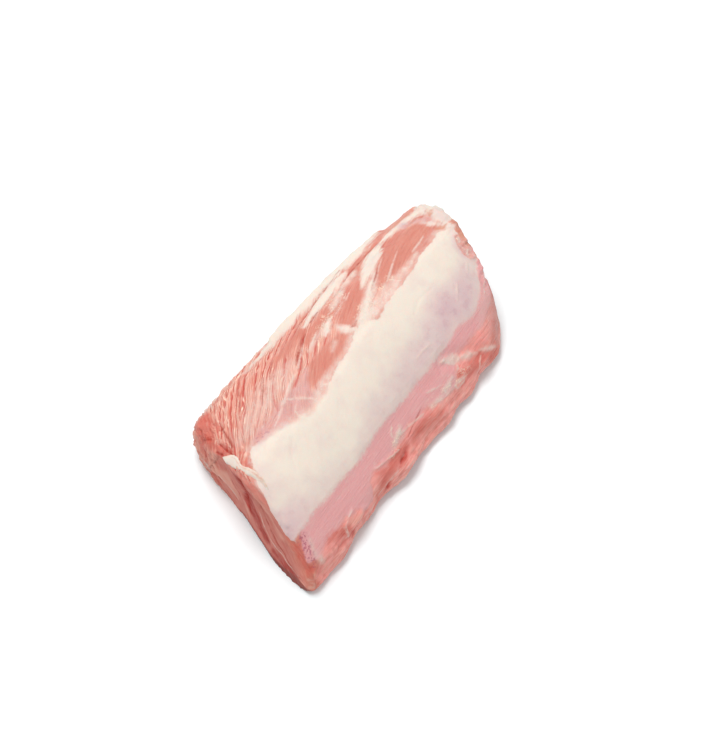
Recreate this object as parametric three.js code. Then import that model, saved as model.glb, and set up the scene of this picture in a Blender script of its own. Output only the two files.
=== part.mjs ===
// Boneless raw veal ribeye in one thick block: a domed loaf of muscle on a flat underside, both ends cut
// on the slant, with a band of fat and silverskin along its crest.
// Millimetres. X runs along the block from the near cut to the far cut, Y across it towards the thick
// flank, Z up. The origin is the middle of the block's footprint, on the surface that it lies on.
import * as THREE from "three";
import { ImprovedNoise } from "three/addons/math/ImprovedNoise.js";

const { lerp, smoothstep } = THREE.MathUtils;
const { PI } = Math;

// The block: its length along the middle line, and how far each cut runs along X for a millimetre across.
const LENGTH = 211;
const NEAR_SLANT = 0.25;
const FAR_SLANT = 0.42;

// Sections from the near cut (at 0) to the far cut (at 1). Flanks are distances from the middle line to
// the widest line on each side, and the crest is the place and height of the highest line.
const SECTIONS = [
  { at: 0, thickFlank: 55, thinFlank: 61, crest: -3, height: 53 },
  { at: 0.45, thickFlank: 48, thinFlank: 61, crest: 2, height: 56 },
  { at: 0.8, thickFlank: 38.5, thinFlank: 64, crest: -1, height: 54 },
  { at: 1, thickFlank: 33, thinFlank: 66, crest: -4, height: 50 },
];
const FLANK_HEIGHT = { thick: 15, thin: 8 }; // of the widest line above the table
const FLANK_TUCK = { thick: 14, thin: 7 }; // how far the base lies inside the widest line
const TOP_POWER = { thick: 2.1, thin: 1.55 }; // superellipse powers from the crest down to the widest line

// Radii of the corners at the two cuts, in plan for the flanks and in side view for the crest.
const NEAR_ROUND = { thick: 15, thin: 4, top: 3 };
const FAR_ROUND = { thick: 14, thin: 24, top: 7 };
const NEAR_TOE = { reach: 8, middle: -38, spread: 34 }; // the near cut's foot stands out, most at middle

// The band of fat along the crest: its edges at a few stations, how far it stands up, and how wide its
// trimmed edge and its thin edge are.
const BAND_EDGES = [
  { at: 0, thick: 9, thin: -42 },
  { at: 0.28, thick: -8, thin: -41 },
  { at: 0.5, thick: -3, thin: -41 },
  { at: 1, thick: -4, thin: -47 },
];
const BAND = { rise: 1.3, trimmed: 3, thinning: 9, ragged: 2, tearLength: 7 };

// Bare muscle starts this far outside the band and ends between these heights on the thick flank. Its
// bundles run at an angle to the block and wander a little.
const BARE = { margin: 10, foot: 8, top: 24 };
const BUNDLES = { angle: PI / 15, width: 9.5, depth: 0.6, wander: 5, wanderLength: 45 };
// The seam between the eye of the muscle and the strip outside it opens between these two stations and
// runs on to the far cut, closer and closer to the crest.
const FLANK_SEAM = { opens: 0.36, open: 0.5, near: 36, far: 15, width: 3.2, depth: 2.2 };
const SEAM_WANDER = { reach: 3, length: 25 };
// A pit beside the band at the near cut, where the bundles run together.
const PIT = { at: 0.05, across: 11, radius: 6, depth: 3.8 };
// A flap of fat that curls over the rim of the near cut.
const FLAP = { middle: -3, spread: 13, curl: 2.6, lift: 1.2, depth: 6, foot: 30 };
// Torn lobes of muscle along the foot of the thin flank, and the fold that divides them at the far end.
const LOBES = { length: 21, height: 16, bulge: 5.2, full: 10, top: 26 };
const FOLD = { from: [25, -45], to: [60, -62], width: 3.5, depth: 2 };
const UNEVEN = { length: 42, height: 1.3 }; // slow swells all over
// Both cuts: the muscles swell, and seams part them. One seam follows the crest at a depth, and one leans
// up from the foot. The relief fades out towards the rim.
const CUT = { swell: 1.8, swellLength: 17, seamDepth: 1.5, seamWidth: 3.4, rimShare: 0.33 };
const CUT_WANDER = { reach: 3, length: 16 };
const CREST_SEAM = { depth: 13, halfSpan: 75, starts: 8, full: -6 };
const LEANING_SEAM = { foot: 1, lean: 0.45, starts: 4, full: 12 };

// Counts that set how finely the block is faceted.
const STATIONS = 52;
const AROUND = 64;
const BASE_POINTS = 11; // of the points around, those along the flat underside
const CAP_RINGS = 9;
const END_CROWDING = 0.3; // share of the stations' spacing that crowds towards the cuts

const perlin = new ImprovedNoise();
const noise = (x, y, z = 0.5) => perlin.noise(x + 40.3, y + 17.7, z + 29.1);
const bell = (x, spread) => Math.exp(-((x / spread) ** 2));

// A smooth track through a table of stations, giving its named values at any station.
function track(table, names) {
  const spline = new THREE.CubicInterpolant(
    table.map((row) => row.at),
    table.flatMap((row) => names.map((name) => row[name])),
    names.length,
  );
  return (at) => Object.fromEntries(names.map((name, i) => [name, spline.evaluate(at)[i]]));
}
const sectionAt = track(SECTIONS, ["thickFlank", "thinFlank", "crest", "height"]);
const bandAt = track(BAND_EDGES, ["thick", "thin"]);

// How far a rounded corner takes the surface in at a distance from the end of the block.
const cornerInset = (radius, distance) =>
  distance < radius ? radius - Math.sqrt(radius ** 2 - (radius - distance) ** 2) : 0;

function sectionSizes(at) {
  const { thickFlank, thinFlank, crest, height } = sectionAt(at);
  const inset = (side) =>
    cornerInset(NEAR_ROUND[side], at * LENGTH) + cornerInset(FAR_ROUND[side], (1 - at) * LENGTH);
  return {
    thick: thickFlank - inset("thick"),
    thin: thinFlank - inset("thin"),
    crest,
    height: height - inset("top"),
  };
}

// A quarter of a superellipse about (cy, cz), from angle a to b.
function quarter(cy, cz, ry, rz, power, a, b) {
  const steps = 48;
  return Array.from({ length: steps }, (_, i) => {
    const angle = lerp(a, b, i / steps);
    const [c, s] = [Math.cos(angle), Math.sin(angle)];
    return new THREE.Vector2(
      cy + ry * Math.sign(c) * Math.abs(c) ** (2 / power),
      cz + rz * Math.sign(s) * Math.abs(s) ** (2 / power),
    );
  });
}

// The plain outline of a section, from the thick side of the base over the crest to its thin side.
function sectionOutline(at) {
  const { thick, thin, crest, height } = sectionSizes(at);
  const low = FLANK_HEIGHT;
  const tuck = FLANK_TUCK;
  return [
    ...quarter(thick - tuck.thick, low.thick, tuck.thick, low.thick, 2, -PI / 2, 0),
    ...quarter(crest, low.thick, thick - crest, height - low.thick, TOP_POWER.thick, 0, PI / 2),
    ...quarter(crest, low.thin, crest + thin, height - low.thin, TOP_POWER.thin, PI / 2, PI),
    ...quarter(tuck.thin - thin, low.thin, tuck.thin, low.thin, 2, PI, (3 * PI) / 2),
    new THREE.Vector2(tuck.thin - thin, 0),
  ];
}

// The section as AROUND points, evenly spaced over the top and then along the base.
function sectionPoints(at) {
  const outline = sectionOutline(at);
  const run = [0];
  for (let i = 1; i < outline.length; i++) {
    run.push(run[i - 1] + outline[i].distanceTo(outline[i - 1]));
  }
  const overCount = AROUND - BASE_POINTS;
  const points = [];
  let k = 1;
  for (let i = 0; i <= overCount; i++) {
    const wanted = (run.at(-1) * i) / overCount;
    while (k < run.length - 1 && run[k] < wanted) k++;
    const share = (wanted - run[k - 1]) / (run[k] - run[k - 1]);
    points.push(outline[k - 1].clone().lerp(outline[k], share));
  }
  for (let i = 1; i < BASE_POINTS; i++) {
    points.push(outline.at(-1).clone().lerp(outline[0], i / BASE_POINTS));
  }
  return points;
}

// Where a point of a section lies in the block: the sections fan from one slant to the other.
function place(at, y, z) {
  const toe = NEAR_TOE.reach * bell(y - NEAR_TOE.middle, NEAR_TOE.spread) * (1 - at) ** 4;
  const lowness = 1 - z / sectionAt(at).height;
  const x = LENGTH * (at - 0.5) + lerp(NEAR_SLANT, FAR_SLANT, at) * y - toe * lowness;
  return new THREE.Vector3(x, y, z);
}

// Distance in plan from the line between two points.
function distanceFromLine(x, y, from, to) {
  const [dx, dy] = [to[0] - from[0], to[1] - from[1]];
  const share = THREE.MathUtils.clamp(((x - from[0]) * dx + (y - from[1]) * dy) / (dx ** 2 + dy ** 2), 0, 1);
  return Math.hypot(x - from[0] - share * dx, y - from[1] - share * dy);
}

function bandRelief(at, x, y) {
  const { thick, thin } = bandAt(at);
  const tear = BAND.ragged * noise(x / BAND.tearLength, y / BAND.tearLength);
  const trimmed = smoothstep(thick + tear - y, -BAND.trimmed / 2, BAND.trimmed / 2);
  return BAND.rise * trimmed * smoothstep(y - thin, -BAND.thinning / 2, BAND.thinning / 2);
}

// The thick flank's muscle: rounded bundles with sharp valleys between them, and the seam across them.
function muscleRelief(at, x, y, z) {
  const [c, s] = [Math.cos(BUNDLES.angle), Math.sin(BUNDLES.angle)];
  const wander = BUNDLES.wander * noise((x * c + y * s) / BUNDLES.wanderLength, y / BUNDLES.wanderLength);
  const bundle = Math.abs(Math.sin((PI * (y * c - x * s + wander)) / BUNDLES.width));
  const along = (at - FLANK_SEAM.opens) / (1 - FLANK_SEAM.opens);
  const seamLine =
    lerp(FLANK_SEAM.near, FLANK_SEAM.far, along) + SEAM_WANDER.reach * noise(x / SEAM_WANDER.length, 0);
  const seam = bell(y - seamLine, FLANK_SEAM.width) * smoothstep(at, FLANK_SEAM.opens, FLANK_SEAM.open);
  const bare = smoothstep(y - bandAt(at).thick, 0, BARE.margin) * smoothstep(z, BARE.foot, BARE.top);
  return bare * (BUNDLES.depth * (bundle - 2 / PI) - FLANK_SEAM.depth * seam);
}

function lobeRelief(x, y, z) {
  if (y > 0) return 0;
  const low = 1 - smoothstep(z, LOBES.full, LOBES.top);
  const fold = bell(distanceFromLine(x, y, FOLD.from, FOLD.to), FOLD.width);
  return LOBES.bulge * low * noise(x / LOBES.length, z / LOBES.height, 2) - FOLD.depth * fold;
}

// The relief on the skin of the block, as a height along its normal.
function skinRelief(at, { x, y, z }) {
  const pit = PIT.depth * bell(Math.hypot((at - PIT.at) * LENGTH, y - PIT.across), PIT.radius);
  const swells = UNEVEN.height * noise(x / UNEVEN.length, y / UNEVEN.length, z / UNEVEN.length);
  return bandRelief(at, x, y) + muscleRelief(at, x, y, z) + lobeRelief(x, y, z) + swells - pit;
}

// The relief on a cut, as a height out of it.
function cutRelief(y, z, height) {
  const depth = height * (1 - (y / CREST_SEAM.halfSpan) ** 2) - z;
  const wander = CUT_WANDER.reach * noise(y / CUT_WANDER.length, z / CUT_WANDER.length, 1);
  const crestSeam =
    bell(depth - CREST_SEAM.depth - wander, CUT.seamWidth) *
    smoothstep(-y, -CREST_SEAM.starts, -CREST_SEAM.full);
  const leaningSeam =
    bell(y - LEANING_SEAM.foot - LEANING_SEAM.lean * z - wander, CUT.seamWidth) *
    smoothstep(z, LEANING_SEAM.starts, LEANING_SEAM.full);
  const swell = CUT.swell * noise(y / CUT.swellLength, z / CUT.swellLength, 3);
  return swell - CUT.seamDepth * (crestSeam + leaningSeam);
}

function ringOf(at) {
  return sectionPoints(at).map((p) => place(at, p.x, p.y));
}

// The rings of the skin, each a list of points around one station, with the relief pushed out along the
// normals of the plain form. The base stays flat.
function skinRings() {
  const stations = Array.from({ length: STATIONS }, (_, i) => {
    const even = i / (STATIONS - 1);
    return lerp(even, (1 - Math.cos(PI * even)) / 2, END_CROWDING);
  });
  const plain = stations.map(ringOf);
  const overCount = AROUND - BASE_POINTS;
  return plain.map((ring, i) =>
    ring.map((point, j) => {
      if (j === 0 || j >= overCount) return point.clone();
      const ahead = plain[Math.min(i + 1, STATIONS - 1)][j];
      const behind = plain[Math.max(i - 1, 0)][j];
      const normal = ring[j + 1].clone().sub(ring[j - 1]).cross(ahead.clone().sub(behind));
      if (ring === plain[0] || ring === plain.at(-1)) normal.x = 0;
      normal.normalize();
      const at = stations[i];
      const pushed = point.clone().addScaledVector(normal, skinRelief(at, point));
      if (point.z > FLAP.foot) {
        const curl = bell(point.y - FLAP.middle, FLAP.spread) * bell(at * LENGTH, FLAP.depth);
        pushed.x -= FLAP.curl * curl;
        pushed.z += FLAP.lift * curl;
      }
      pushed.z = Math.max(pushed.z, 0);
      return pushed;
    }),
  );
}

// The rings that close a cut, shrinking from its rim to a middle point, with the relief of the cut.
function capRings(rim, outward) {
  const middle = rim.reduce((sum, p) => sum.add(p), new THREE.Vector3()).divideScalar(rim.length);
  const height = Math.max(...rim.map((p) => p.z));
  const sunk = (p, share) => {
    const fade = Math.min(1, (1 - share) / CUT.rimShare);
    p.x += outward * fade * cutRelief(p.y, p.z, height);
    return p;
  };
  const rings = [];
  for (let k = 1; k < CAP_RINGS; k++) {
    const share = 1 - k / CAP_RINGS;
    rings.push(rim.map((p) => sunk(middle.clone().lerp(p, share), share)));
  }
  return { rings, middle: sunk(middle, 0) };
}

function blockGeometry() {
  const skin = skinRings();
  const near = capRings(skin[0], -1);
  const far = capRings(skin.at(-1), 1);
  const rings = [...near.rings.reverse(), ...skin, ...far.rings];
  const points = [...rings.flat(), near.middle, far.middle];
  const nearMiddle = points.length - 2;
  const farMiddle = points.length - 1;
  const lastRing = (rings.length - 1) * AROUND;
  const index = [];
  for (let j = 0; j < AROUND; j++) {
    const next = (j + 1) % AROUND;
    index.push(nearMiddle, next, j, farMiddle, lastRing + j, lastRing + next);
    for (let i = 0; i + 1 < rings.length; i++) {
      const a = i * AROUND + j;
      const b = i * AROUND + next;
      index.push(a, b, a + AROUND, b, b + AROUND, a + AROUND);
    }
  }
  const geometry = new THREE.BufferGeometry().setFromPoints(points).setIndex(index);
  geometry.computeBoundingBox();
  const middle = geometry.boundingBox.getCenter(new THREE.Vector3());
  return geometry.translate(-middle.x, -middle.y, 0);
}

const rawVeal = new THREE.MeshStandardMaterial({ color: 0xd98f84, roughness: 0.45, metalness: 0 });
const block = new THREE.Mesh(blockGeometry(), rawVeal);
block.name = "veal_ribeye";

const part = new THREE.Group();
part.add(block);
export default part;
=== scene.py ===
"""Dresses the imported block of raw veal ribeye: muscle, silverskin and fat on the block's own form."""

import math
from collections import namedtuple
from functools import partial

import bmesh
import bpy
import numpy as np
from bpy.props import FloatProperty, FloatVectorProperty, PointerProperty
from mathutils import Color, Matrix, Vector, noise
from mathutils.bvhtree import BVHTree


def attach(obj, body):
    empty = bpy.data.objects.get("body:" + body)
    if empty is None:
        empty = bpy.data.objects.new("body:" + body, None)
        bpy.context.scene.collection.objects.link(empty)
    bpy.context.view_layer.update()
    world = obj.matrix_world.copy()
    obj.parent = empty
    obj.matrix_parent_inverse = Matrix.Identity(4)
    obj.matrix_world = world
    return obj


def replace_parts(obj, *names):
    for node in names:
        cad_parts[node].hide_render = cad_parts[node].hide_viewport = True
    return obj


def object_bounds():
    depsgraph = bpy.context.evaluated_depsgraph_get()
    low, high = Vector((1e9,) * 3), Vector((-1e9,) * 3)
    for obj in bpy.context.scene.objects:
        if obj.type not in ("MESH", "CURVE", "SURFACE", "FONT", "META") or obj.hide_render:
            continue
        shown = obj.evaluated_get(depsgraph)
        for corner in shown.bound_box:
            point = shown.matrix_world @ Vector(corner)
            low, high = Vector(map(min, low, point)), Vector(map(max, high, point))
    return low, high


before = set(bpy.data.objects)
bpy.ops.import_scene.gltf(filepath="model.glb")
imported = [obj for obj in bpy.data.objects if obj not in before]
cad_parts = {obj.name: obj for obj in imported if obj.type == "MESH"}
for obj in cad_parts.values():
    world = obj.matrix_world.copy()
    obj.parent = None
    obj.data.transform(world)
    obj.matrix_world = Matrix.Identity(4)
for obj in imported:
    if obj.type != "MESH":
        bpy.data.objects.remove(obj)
CAD_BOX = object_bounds()

bl_info = {
    "name": "Raw veal ribeye",
    "version": (1, 0, 0),
    "blender": (4, 5, 0),
    "location": "3D View > Sidebar > Veal",
    "description": "Builds the dressed block of raw veal ribeye and its stage",
    "category": "Add Mesh",
}

MM = 0.001
MATERIAL = "raw_veal_knife_trimmed"


def linear(code):
    """The linear colour of an sRGB hex value."""
    parts = [int(code[i : i + 2], 16) / 255 for i in (1, 3, 5)]
    return [p / 12.92 if p <= 0.04045 else ((p + 0.055) / 1.055) ** 2.4 for p in parts]


def colour(code, name, description):
    """A colour that a user may change, given as an sRGB hex value."""
    return FloatVectorProperty(
        name=name, description=description, subtype="COLOR", size=3, min=0, max=1, default=linear(code)
    )


def length(size, name, description):
    """A length that a user may change, given in millimetres."""
    return FloatProperty(name=name, description=description, unit="LENGTH", min=0, default=size * MM)


class VealSizes(bpy.types.PropertyGroup):
    """Sizes of the block's surface.

    Real fibres and strands are finer, and would not show at the size of the picture.
    """

    facet: length(0.93, "Facet", "Size of the facets that the skin is made of")
    fibre: length(1.1, "Fibre width", "Width of the fine streaks along the fibres")
    streak: length(12, "Streak length", "Length of the streaks along the fibres")
    strand: length(1.9, "Strand width", "Distance between the strands of the near muscle")
    bundle: length(6.8, "Bundle width", "Distance between the bundles that the strands lie in")
    ridge: length(0.45, "Bundle height", "Height of the bundles of strands")
    crag: length(1.3, "Crag height", "Height of the torn and ragged places")
    fold: length(7, "Film fold", "Distance between the folds of torn film")
    fat_rise: length(0.35, "Fat rise", "How far the fat stands up from the muscle beside it")
    slit_depth: length(0.7, "Slit depth", "Depth of the slits and creases between muscles")


class VealColours(bpy.types.PropertyGroup):
    """Colours of the muscle, the silverskin, the fat and the stage."""

    muscle: colour("#c98272", "Muscle", "Bare muscle on the skin")
    muscle_clear: colour("#c27966", "Clear muscle", "Muscle that the knife has left smooth and bare")
    muscle_warm: colour("#d07860", "Warm muscle", "Orange muscle of the shoulder and the tip")
    # Also painted light on the bundles and on the crests of ragged muscle.
    muscle_pale: colour("#e0a894", "Pale muscle", "Fibres with a little fat between them")
    # Also painted shade in the clefts of ragged muscle and, below the fold, the fold's painted shadow.
    muscle_red: colour("#c4523f", "Red muscle", "Muscle at the near shoulder, in the gaps and at the tip")
    # Also painted shade in the hollows and at the foot of the cuts, at the far end of the flank, between
    # strands and in the slits and creases.
    muscle_deep: colour("#9c2a1e", "Deep muscle", "Hollows of the cuts and gaps between fibres")
    # Painted shade: the dark red of the pit, of the gaps and of the seams between bundles.
    slit: colour("#b8301f", "Slit", "Seams between bundles and the pit, where the muscle is wet")
    flank_muscle: colour("#f79f97", "Flank muscle", "Muscle of the thin flank, pink under a breath of film")
    cut_muscle: colour("#bd695b", "Cut muscle", "The two cuts, which have darkened in the air")
    # Painted highlight on the crowns of strands and the crests of ragged muscle; also the colour of curled
    # bits of film.
    glint: colour("#f6d9c2", "Strand", "Golden strands that stand out on the fibres")
    silverskin: colour("#dea3a3", "Silverskin", "Thin bluish skin over muscle")
    film: colour("#dcc6bb", "Film", "Torn film with a little fat in it")
    # Cool film and thin fat also stand for painted shade toward the block's ends.
    film_cool: colour("#d0a19c", "Cool film", "Film so thin that it shows bluish over muscle")
    fat: colour("#ddd1c4", "Fat", "Thick cream fat")
    fat_thin: colour("#cbaeb0", "Thin fat", "Fat so thin that the muscle under it cools its colour")
    # Along the flap's roll this tan is partly painted shade in the crease.
    tan: colour("#c98c76", "Dried edge", "Edges of fat and film that have dried tan")
    stain: colour("#9e4563", "Stain", "Spots of blood under the silverskin")
    # Painted shade at the foot of the near cut, where it meets the table, drawn nearly black.
    dried: colour("#64291f", "Dried foot", "Foot of the near cut, dried nearly black")
    card: colour("#eff6f7", "Card", "White card that the block lies on")


# The band of fat: the places of its trimmed edge and of its thin edge across the block, along X, in
# millimetres. The thin edge runs up to the trimmed one short of the far cut.
BAND_TRIMMED = (
    (-112, -36), (-110, -28.5), (-108, -22.8), (-106, -18), (-103.5, -13), (-100.7, -7.2), (-97.5, -2),
    (-94, 2.5), (-89, 7.5), (-85.5, 11.5), (-82, 12.5), (-79, 10), (-71, 8), (-63, 5), (-54, 0), (-49, -2.5),
    (-40, -3), (-30, -3), (-19, 0), (0, 2), (9, 5), (14, 6.5), (18, 4), (23, -1), (35, 1), (57, 1), (68, 2),
    (78, 4), (96, 4), (110, -6),
)
BAND_THIN = (
    (-115, -37), (-95, -35), (-77, -36), (-52, -37), (-36, -37), (-27, -36), (-17, -36.5), (5, -37),
    (20, -38), (41, -38), (56, -37), (66, -40), (73, -38.5), (81, -36), (87, -31.5), (93, -25), (97, -20),
    (100, -12), (103, -5),
)
# Where the band of fat is thin enough to look lilac: that part's upper limit, and how lilac it is there.
LILAC_TOP = (
    (-115, -12), (-100, -18), (-86, -24), (-50, -31), (-34, -30), (-23, -19), (-10, -25), (20, -24),
    (35, -18), (60, -16), (90, -18),
)
LILAC_SHARE = (
    (-115, 1.0), (-104, 0.8), (-90, 0.55), (-60, 0.4), (-24, 0.55), (0, 0.6), (25, 0.7), (60, 0.85),
    (80, 0.8), (92, 0.5),
)
# The torn lower edge of the silverskin on the thin flank, as heights along X.
SILVERSKIN_FOOT = (
    (-112, 16), (-102, 23), (-90, 26), (-80, 23), (-70, 22), (-64, 15), (-57, 15), (-53, 23), (-47, 26),
    (-33, 24), (-10, 26), (10, 23), (28, 19), (33, 24), (40, 29), (75, 30),
)
# How far the fibres have drifted across the block, along X, from where they start in the pit.
FIBRE_DRIFT = (
    (-120, -27), (-90, 0), (-75, 13.5), (-60, 26.5), (-45, 39), (-30, 49.5), (-10, 61), (10, 71), (30, 79.5),
    (50, 86.5), (70, 92), (90, 95.5), (120, 98),
)
PIT = (-88, 19)

Mark = namedtuple("Mark", "axis sign path rise")


def laid_on(axis, sign, *path, rise=0):
    """A mark on the skin: the side that it is laid on from, its path and, for a swelling, its height.

    Each point of a path has two places across that side and a width, all in millimetres. On the top the
    places are x and y, on the two cuts y and z, and on the hidden flank x and z.
    """
    return Mark(axis, sign, path, rise)


# The top, the two cuts and the hidden flank: the axis across each side, and the end of it that it faces.
top, near, far, flank = (partial(laid_on, *side) for side in ((2, 1), (0, -1), (0, 1), (1, 1)))

# Fat outside the band: the far cap, the strips and wedges by it, and the seam of the far cut.
FAT_MARKS = dict(
    far_cap=top((113, 28, 7), (112, 22, 12), (110, 14, 13), (108, 7, 12), (105, 1, 8)),
    cap_line=top((98, 16, 1.4), (100, 11, 2.4), (102, 6, 3), (104, 1, 3)),
    far_strip=top((75, 31.5, 2.4), (84, 30.4, 4.4), (92, 29, 5), (101, 27.3, 5.4), (108, 25.5, 6)),
    outer_strip=flank(
        (84, 35, 3), (70, 37, 8), (56, 39.5, 8), (43, 40, 8), (25, 39.5, 9), (14, 39, 10), (4, 38, 10),
        (-9, 38.2, 9), (-22, 38.6, 5.4), (-36, 39, 2.4),
    ),
    second_strip=top(
        (44, 37, 3.6), (36, 37, 7), (26, 36.7, 8), (15, 36, 7), (5, 34.8, 3.6), (-1, 33.8, 1.6),
    ),
    wedge=top(
        (75, 30.5, 2), (70, 29.5, 6), (64, 28, 9.6), (57, 26.5, 10.4), (50, 24.5, 8.4), (44, 22, 5),
        (38, 19.5, 2),
    ),
    wedge_tail=top((44, 16.6, 1), (38, 13.8, 2.4), (31, 10.6, 3.6), (24, 7.6, 4.6), (18, 5.4, 5)),
    bit=top((8, 22.6, 1.4), (5, 21.4, 4), (1, 19.6, 4), (-2, 18.4, 1.4)),
    corner=top((11, 5, 2.4), (8.4, 8, 2.4), (7.6, 11, 1.4)),
    cut_seam=far((-25, 30, 0.6), (-5, 34, 1.6), (15, 30, 1.8), (30, 20, 0.8)),
)
# Torn film, with a little fat in it.
FILM_MARKS = dict(
    end_strip=near((41, 16, 2.4), (38.4, 11, 3.4)),
    small_bit=top((-3, 10.4, 1.8), (-6, 9.4, 2.6), (-9, 8.2, 1.2)),
    wedge_tail=top((50, 19.6, 4), (42, 15.6, 6), (34, 12, 7), (26, 8.6, 7), (19, 6, 6)),
    corner=top((10, 6, 3), (7.6, 10, 4), (6, 15, 3)),
    strip=top((17, 3, 4), (25, 4, 8), (34, 5, 9), (44, 5.5, 8), (54, 5, 6), (64, 5, 4), (76, 6, 2)),
    front=top(
        (-82, 13, 4), (-70, 11, 8), (-59, 9, 12), (-49, 7, 15), (-41, 8, 12), (-34, 11, 6), (-27, 14, 2),
    ),
    front_edge=top((-52, -1, 5), (-42, 0, 6), (-30, 0, 5), (-18, 2, 3)),
    by_the_far_cap=top((92, 26, 2), (97, 22, 5), (101, 17, 5), (103, 12, 4)),
    rim=flank((-42, 39, 2), (-30, 40, 4), (-14, 40, 6), (0, 40, 5)),
    outer_strip=flank((76, 34, 5), (58, 38, 7), (40, 38, 7), (20, 36, 10), (0, 35, 10), (-20, 36, 4)),
    by_the_second_strip=top((48, 32, 3), (41, 32, 6), (33, 31, 4), (26, 30, 2)),
    speckle=top((30, 29, 3), (25, 28, 4), (18, 27, 3)),
    above_the_slit=top((4, 22, 1), (-4, 22, 2), (-14, 20, 2.4)),
    fold=top((31, -39.4, 2.4), (36, -42, 4), (41, -45, 4.4)),
    middle_of_the_fold=top((44, -46.4, 2), (48.5, -48, 3.8), (54, -51, 1.4)),
    end_of_the_fold=top((56, -50.6, 0.8), (62, -54, 2), (68, -55.5, 0.6)),
    far_patch=top((99, -6, 3), (97, -11, 6), (95.5, -16, 6), (95, -20, 3)),
    torn_corner=top((-103, -41, 1), (-106, -46, 3), (-105, -51, 2.4)),
    torn_fold=top((30, -49, 2), (25, -50, 4), (17, -50, 3), (8, -49, 2)),
    crumbs=top((38, -53, 1.6), (33, -52.5, 2.4), (28, -52, 2)),
    blob=top((-16, -43, 2), (-20, -44, 3.4), (-25, -46, 2.4)),
    hidden=flank((-70, 30, 5), (-40, 23, 9), (-5, 20, 5), (30, 15, 9), (70, 20, 7), (92, 16, 3)),
    hidden_streak=flank((-35, 30, 1.5), (-10, 31, 4), (25, 27, 6), (45, 29, 3)),
)
# Where the film is so thin that it looks bluish.
COOL_MARKS = dict(
    front=top((-78, 12, 5), (-66, 11, 9), (-54, 9, 13), (-45, 7, 14), (-36, 9, 10), (-26, 13, 6)),
    by_the_far_cap=top((92, 26, 4), (98, 22, 7), (102, 16, 6)),
    far_patch=FILM_MARKS["far_patch"],
)
# Where a thin veil of film lies over the fibres.
VEIL_MARKS = dict(
    fan=top((-82, 19, 5), (-70, 19, 14), (-57, 23, 19), (-44, 24, 18), (-31, 24, 9)),
)
# Where the knife has left small curled bits of film.
CURL_MARKS = dict(
    upper=top((36, 30, 3), (26, 28, 6), (14, 25, 8), (3, 22, 7), (-6, 20, 3)),
    by_the_band=top((50, 9, 3), (40, 9, 6), (29, 9, 7), (19, 9, 4)),
    fold=top((42, -52, 4), (32, -52, 7), (20, -50, 6), (8, -48, 3)),
    flank=top((-14, -44, 3), (-22, -45, 5), (-30, -47, 3)),
    far_patch=top((103, -3, 4), (99, -11, 6), (96, -18, 4)),
)
# Slits, creases and seams, drawn dark: partly the muscle's own darker seams, partly painted shade in the
# slits and creases and at the notch.
DARK_LINES = dict(
    slit=top((-5, 30.5, 0.4), (-12, 28.5, 1.3), (-20, 25, 1.4), (-27, 21, 0.4)),
    outer_line=top(
        (46, 40, 0.2), (30, 40.8, 0.6), (20, 40.4, 0.7), (10, 39.6, 0.6), (0, 39.6, 0.4), (-8, 40, 0.1),
    ),
    inner_line=top((12, 33.4, 0.4), (5, 32.6, 1), (-3, 31.6, 0.3)),
    upper_line=top((80, 33.4, 0.3), (68, 34.2, 0.7), (58, 34.8, 0.8), (46, 34.6, 0.5), (38, 33, 0.1)),
    wedge_side=top((58, 21.4, 0.2), (51, 18.2, 0.7), (44, 15.6, 0.6), (38, 13.4, 0.1)),
    notch_shadow=top((16, 8.4, 0.3), (12.6, 7.8, 1.3), (9.6, 8.6, 0.4)),
    shoulder_crease=top((-78.5, 37.5, 0.2), (-81.5, 32, 1), (-84.5, 26, 1.3), (-87.5, 20.5, 1.5)),
    upper_crease=top((-77.5, 44.5, 0.3), (-79.2, 41, 1), (-80.8, 37, 1), (-82, 34.5, 0.3)),
    low_crease=top((-83, 48, 0.3), (-85.6, 44, 1), (-86.6, 40, 0.5)),
    lump_side=top((-88, 41.5, 0.4), (-88.2, 37, 0.9), (-88.8, 32.6, 0.3)),
    lump_fold=top((-81, 43, 0.2), (-83.4, 40, 0.7), (-84.4, 36.4, 0.3)),
    pit_edge=top((-89.4, 29.5, 0.5), (-90, 26.5, 1.3), (-90.3, 22.5, 1.5), (-89.6, 18.5, 0.9)),
    flap_crease_shade=top((-93, 28.5, 0.5), (-93.6, 26, 0.9), (-94, 23, 0.4)),
    bundle_line=top((-54, 42, 0.1), (-60, 37, 0.8), (-66, 32, 0.5), (-72, 27.5, 0.1)),
    other_bundle_line=top((-42, 33, 0.1), (-50, 27.5, 0.7), (-58, 22, 0.1)),
    far_bundle_line=top((-28, 37, 0.1), (-35, 33, 0.8), (-42, 28.5, 0.1)),
    gap=top((-24, -52, 0.5), (-27, -52.7, 0.9), (-29, -53, 0.4)),
    flank_line=top((3, -45.5, 0.1), (-4, -46.5, 0.5), (-11, -47.5, 0.4), (-16, -48.5, 0.1)),
    cut_side=near((9, 50, 0.8), (6, 40, 1.1), (4, 28, 1), (0, 16, 0.5)),
    cut_strip=near(
        (-3, 49, 0.5), (-6, 39, 0.8), (-13, 30, 0.9), (-23, 20, 0.8), (-36, 12, 0.6), (-45, 9, 0.3),
    ),
    cut_fold=near((38, 28, 0.4), (33, 18, 0.8), (27, 9, 0.6), (20, 4, 0.3)),
    cut_top_fold=near((24, 43, 0.4), (18, 38, 0.7), (13, 30, 0.6), (10, 20, 0.2)),
    shoulder_cut=near((43, 37, 0.6), (39, 29, 0.8), (38, 17, 0.5)),
    far_side=far((-30, 12, 0.7), (-18, 22, 1), (-2, 26, 1.1), (12, 24, 0.7)),
    far_strip=far((14, 46, 0.7), (20, 34, 1), (26, 20, 0.9), (28, 8, 0.6)),
    hidden_line=flank((-44, 27, 0.1), (-18, 25, 0.7), (8, 22, 0.6), (24, 23, 0.1)),
)
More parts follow.
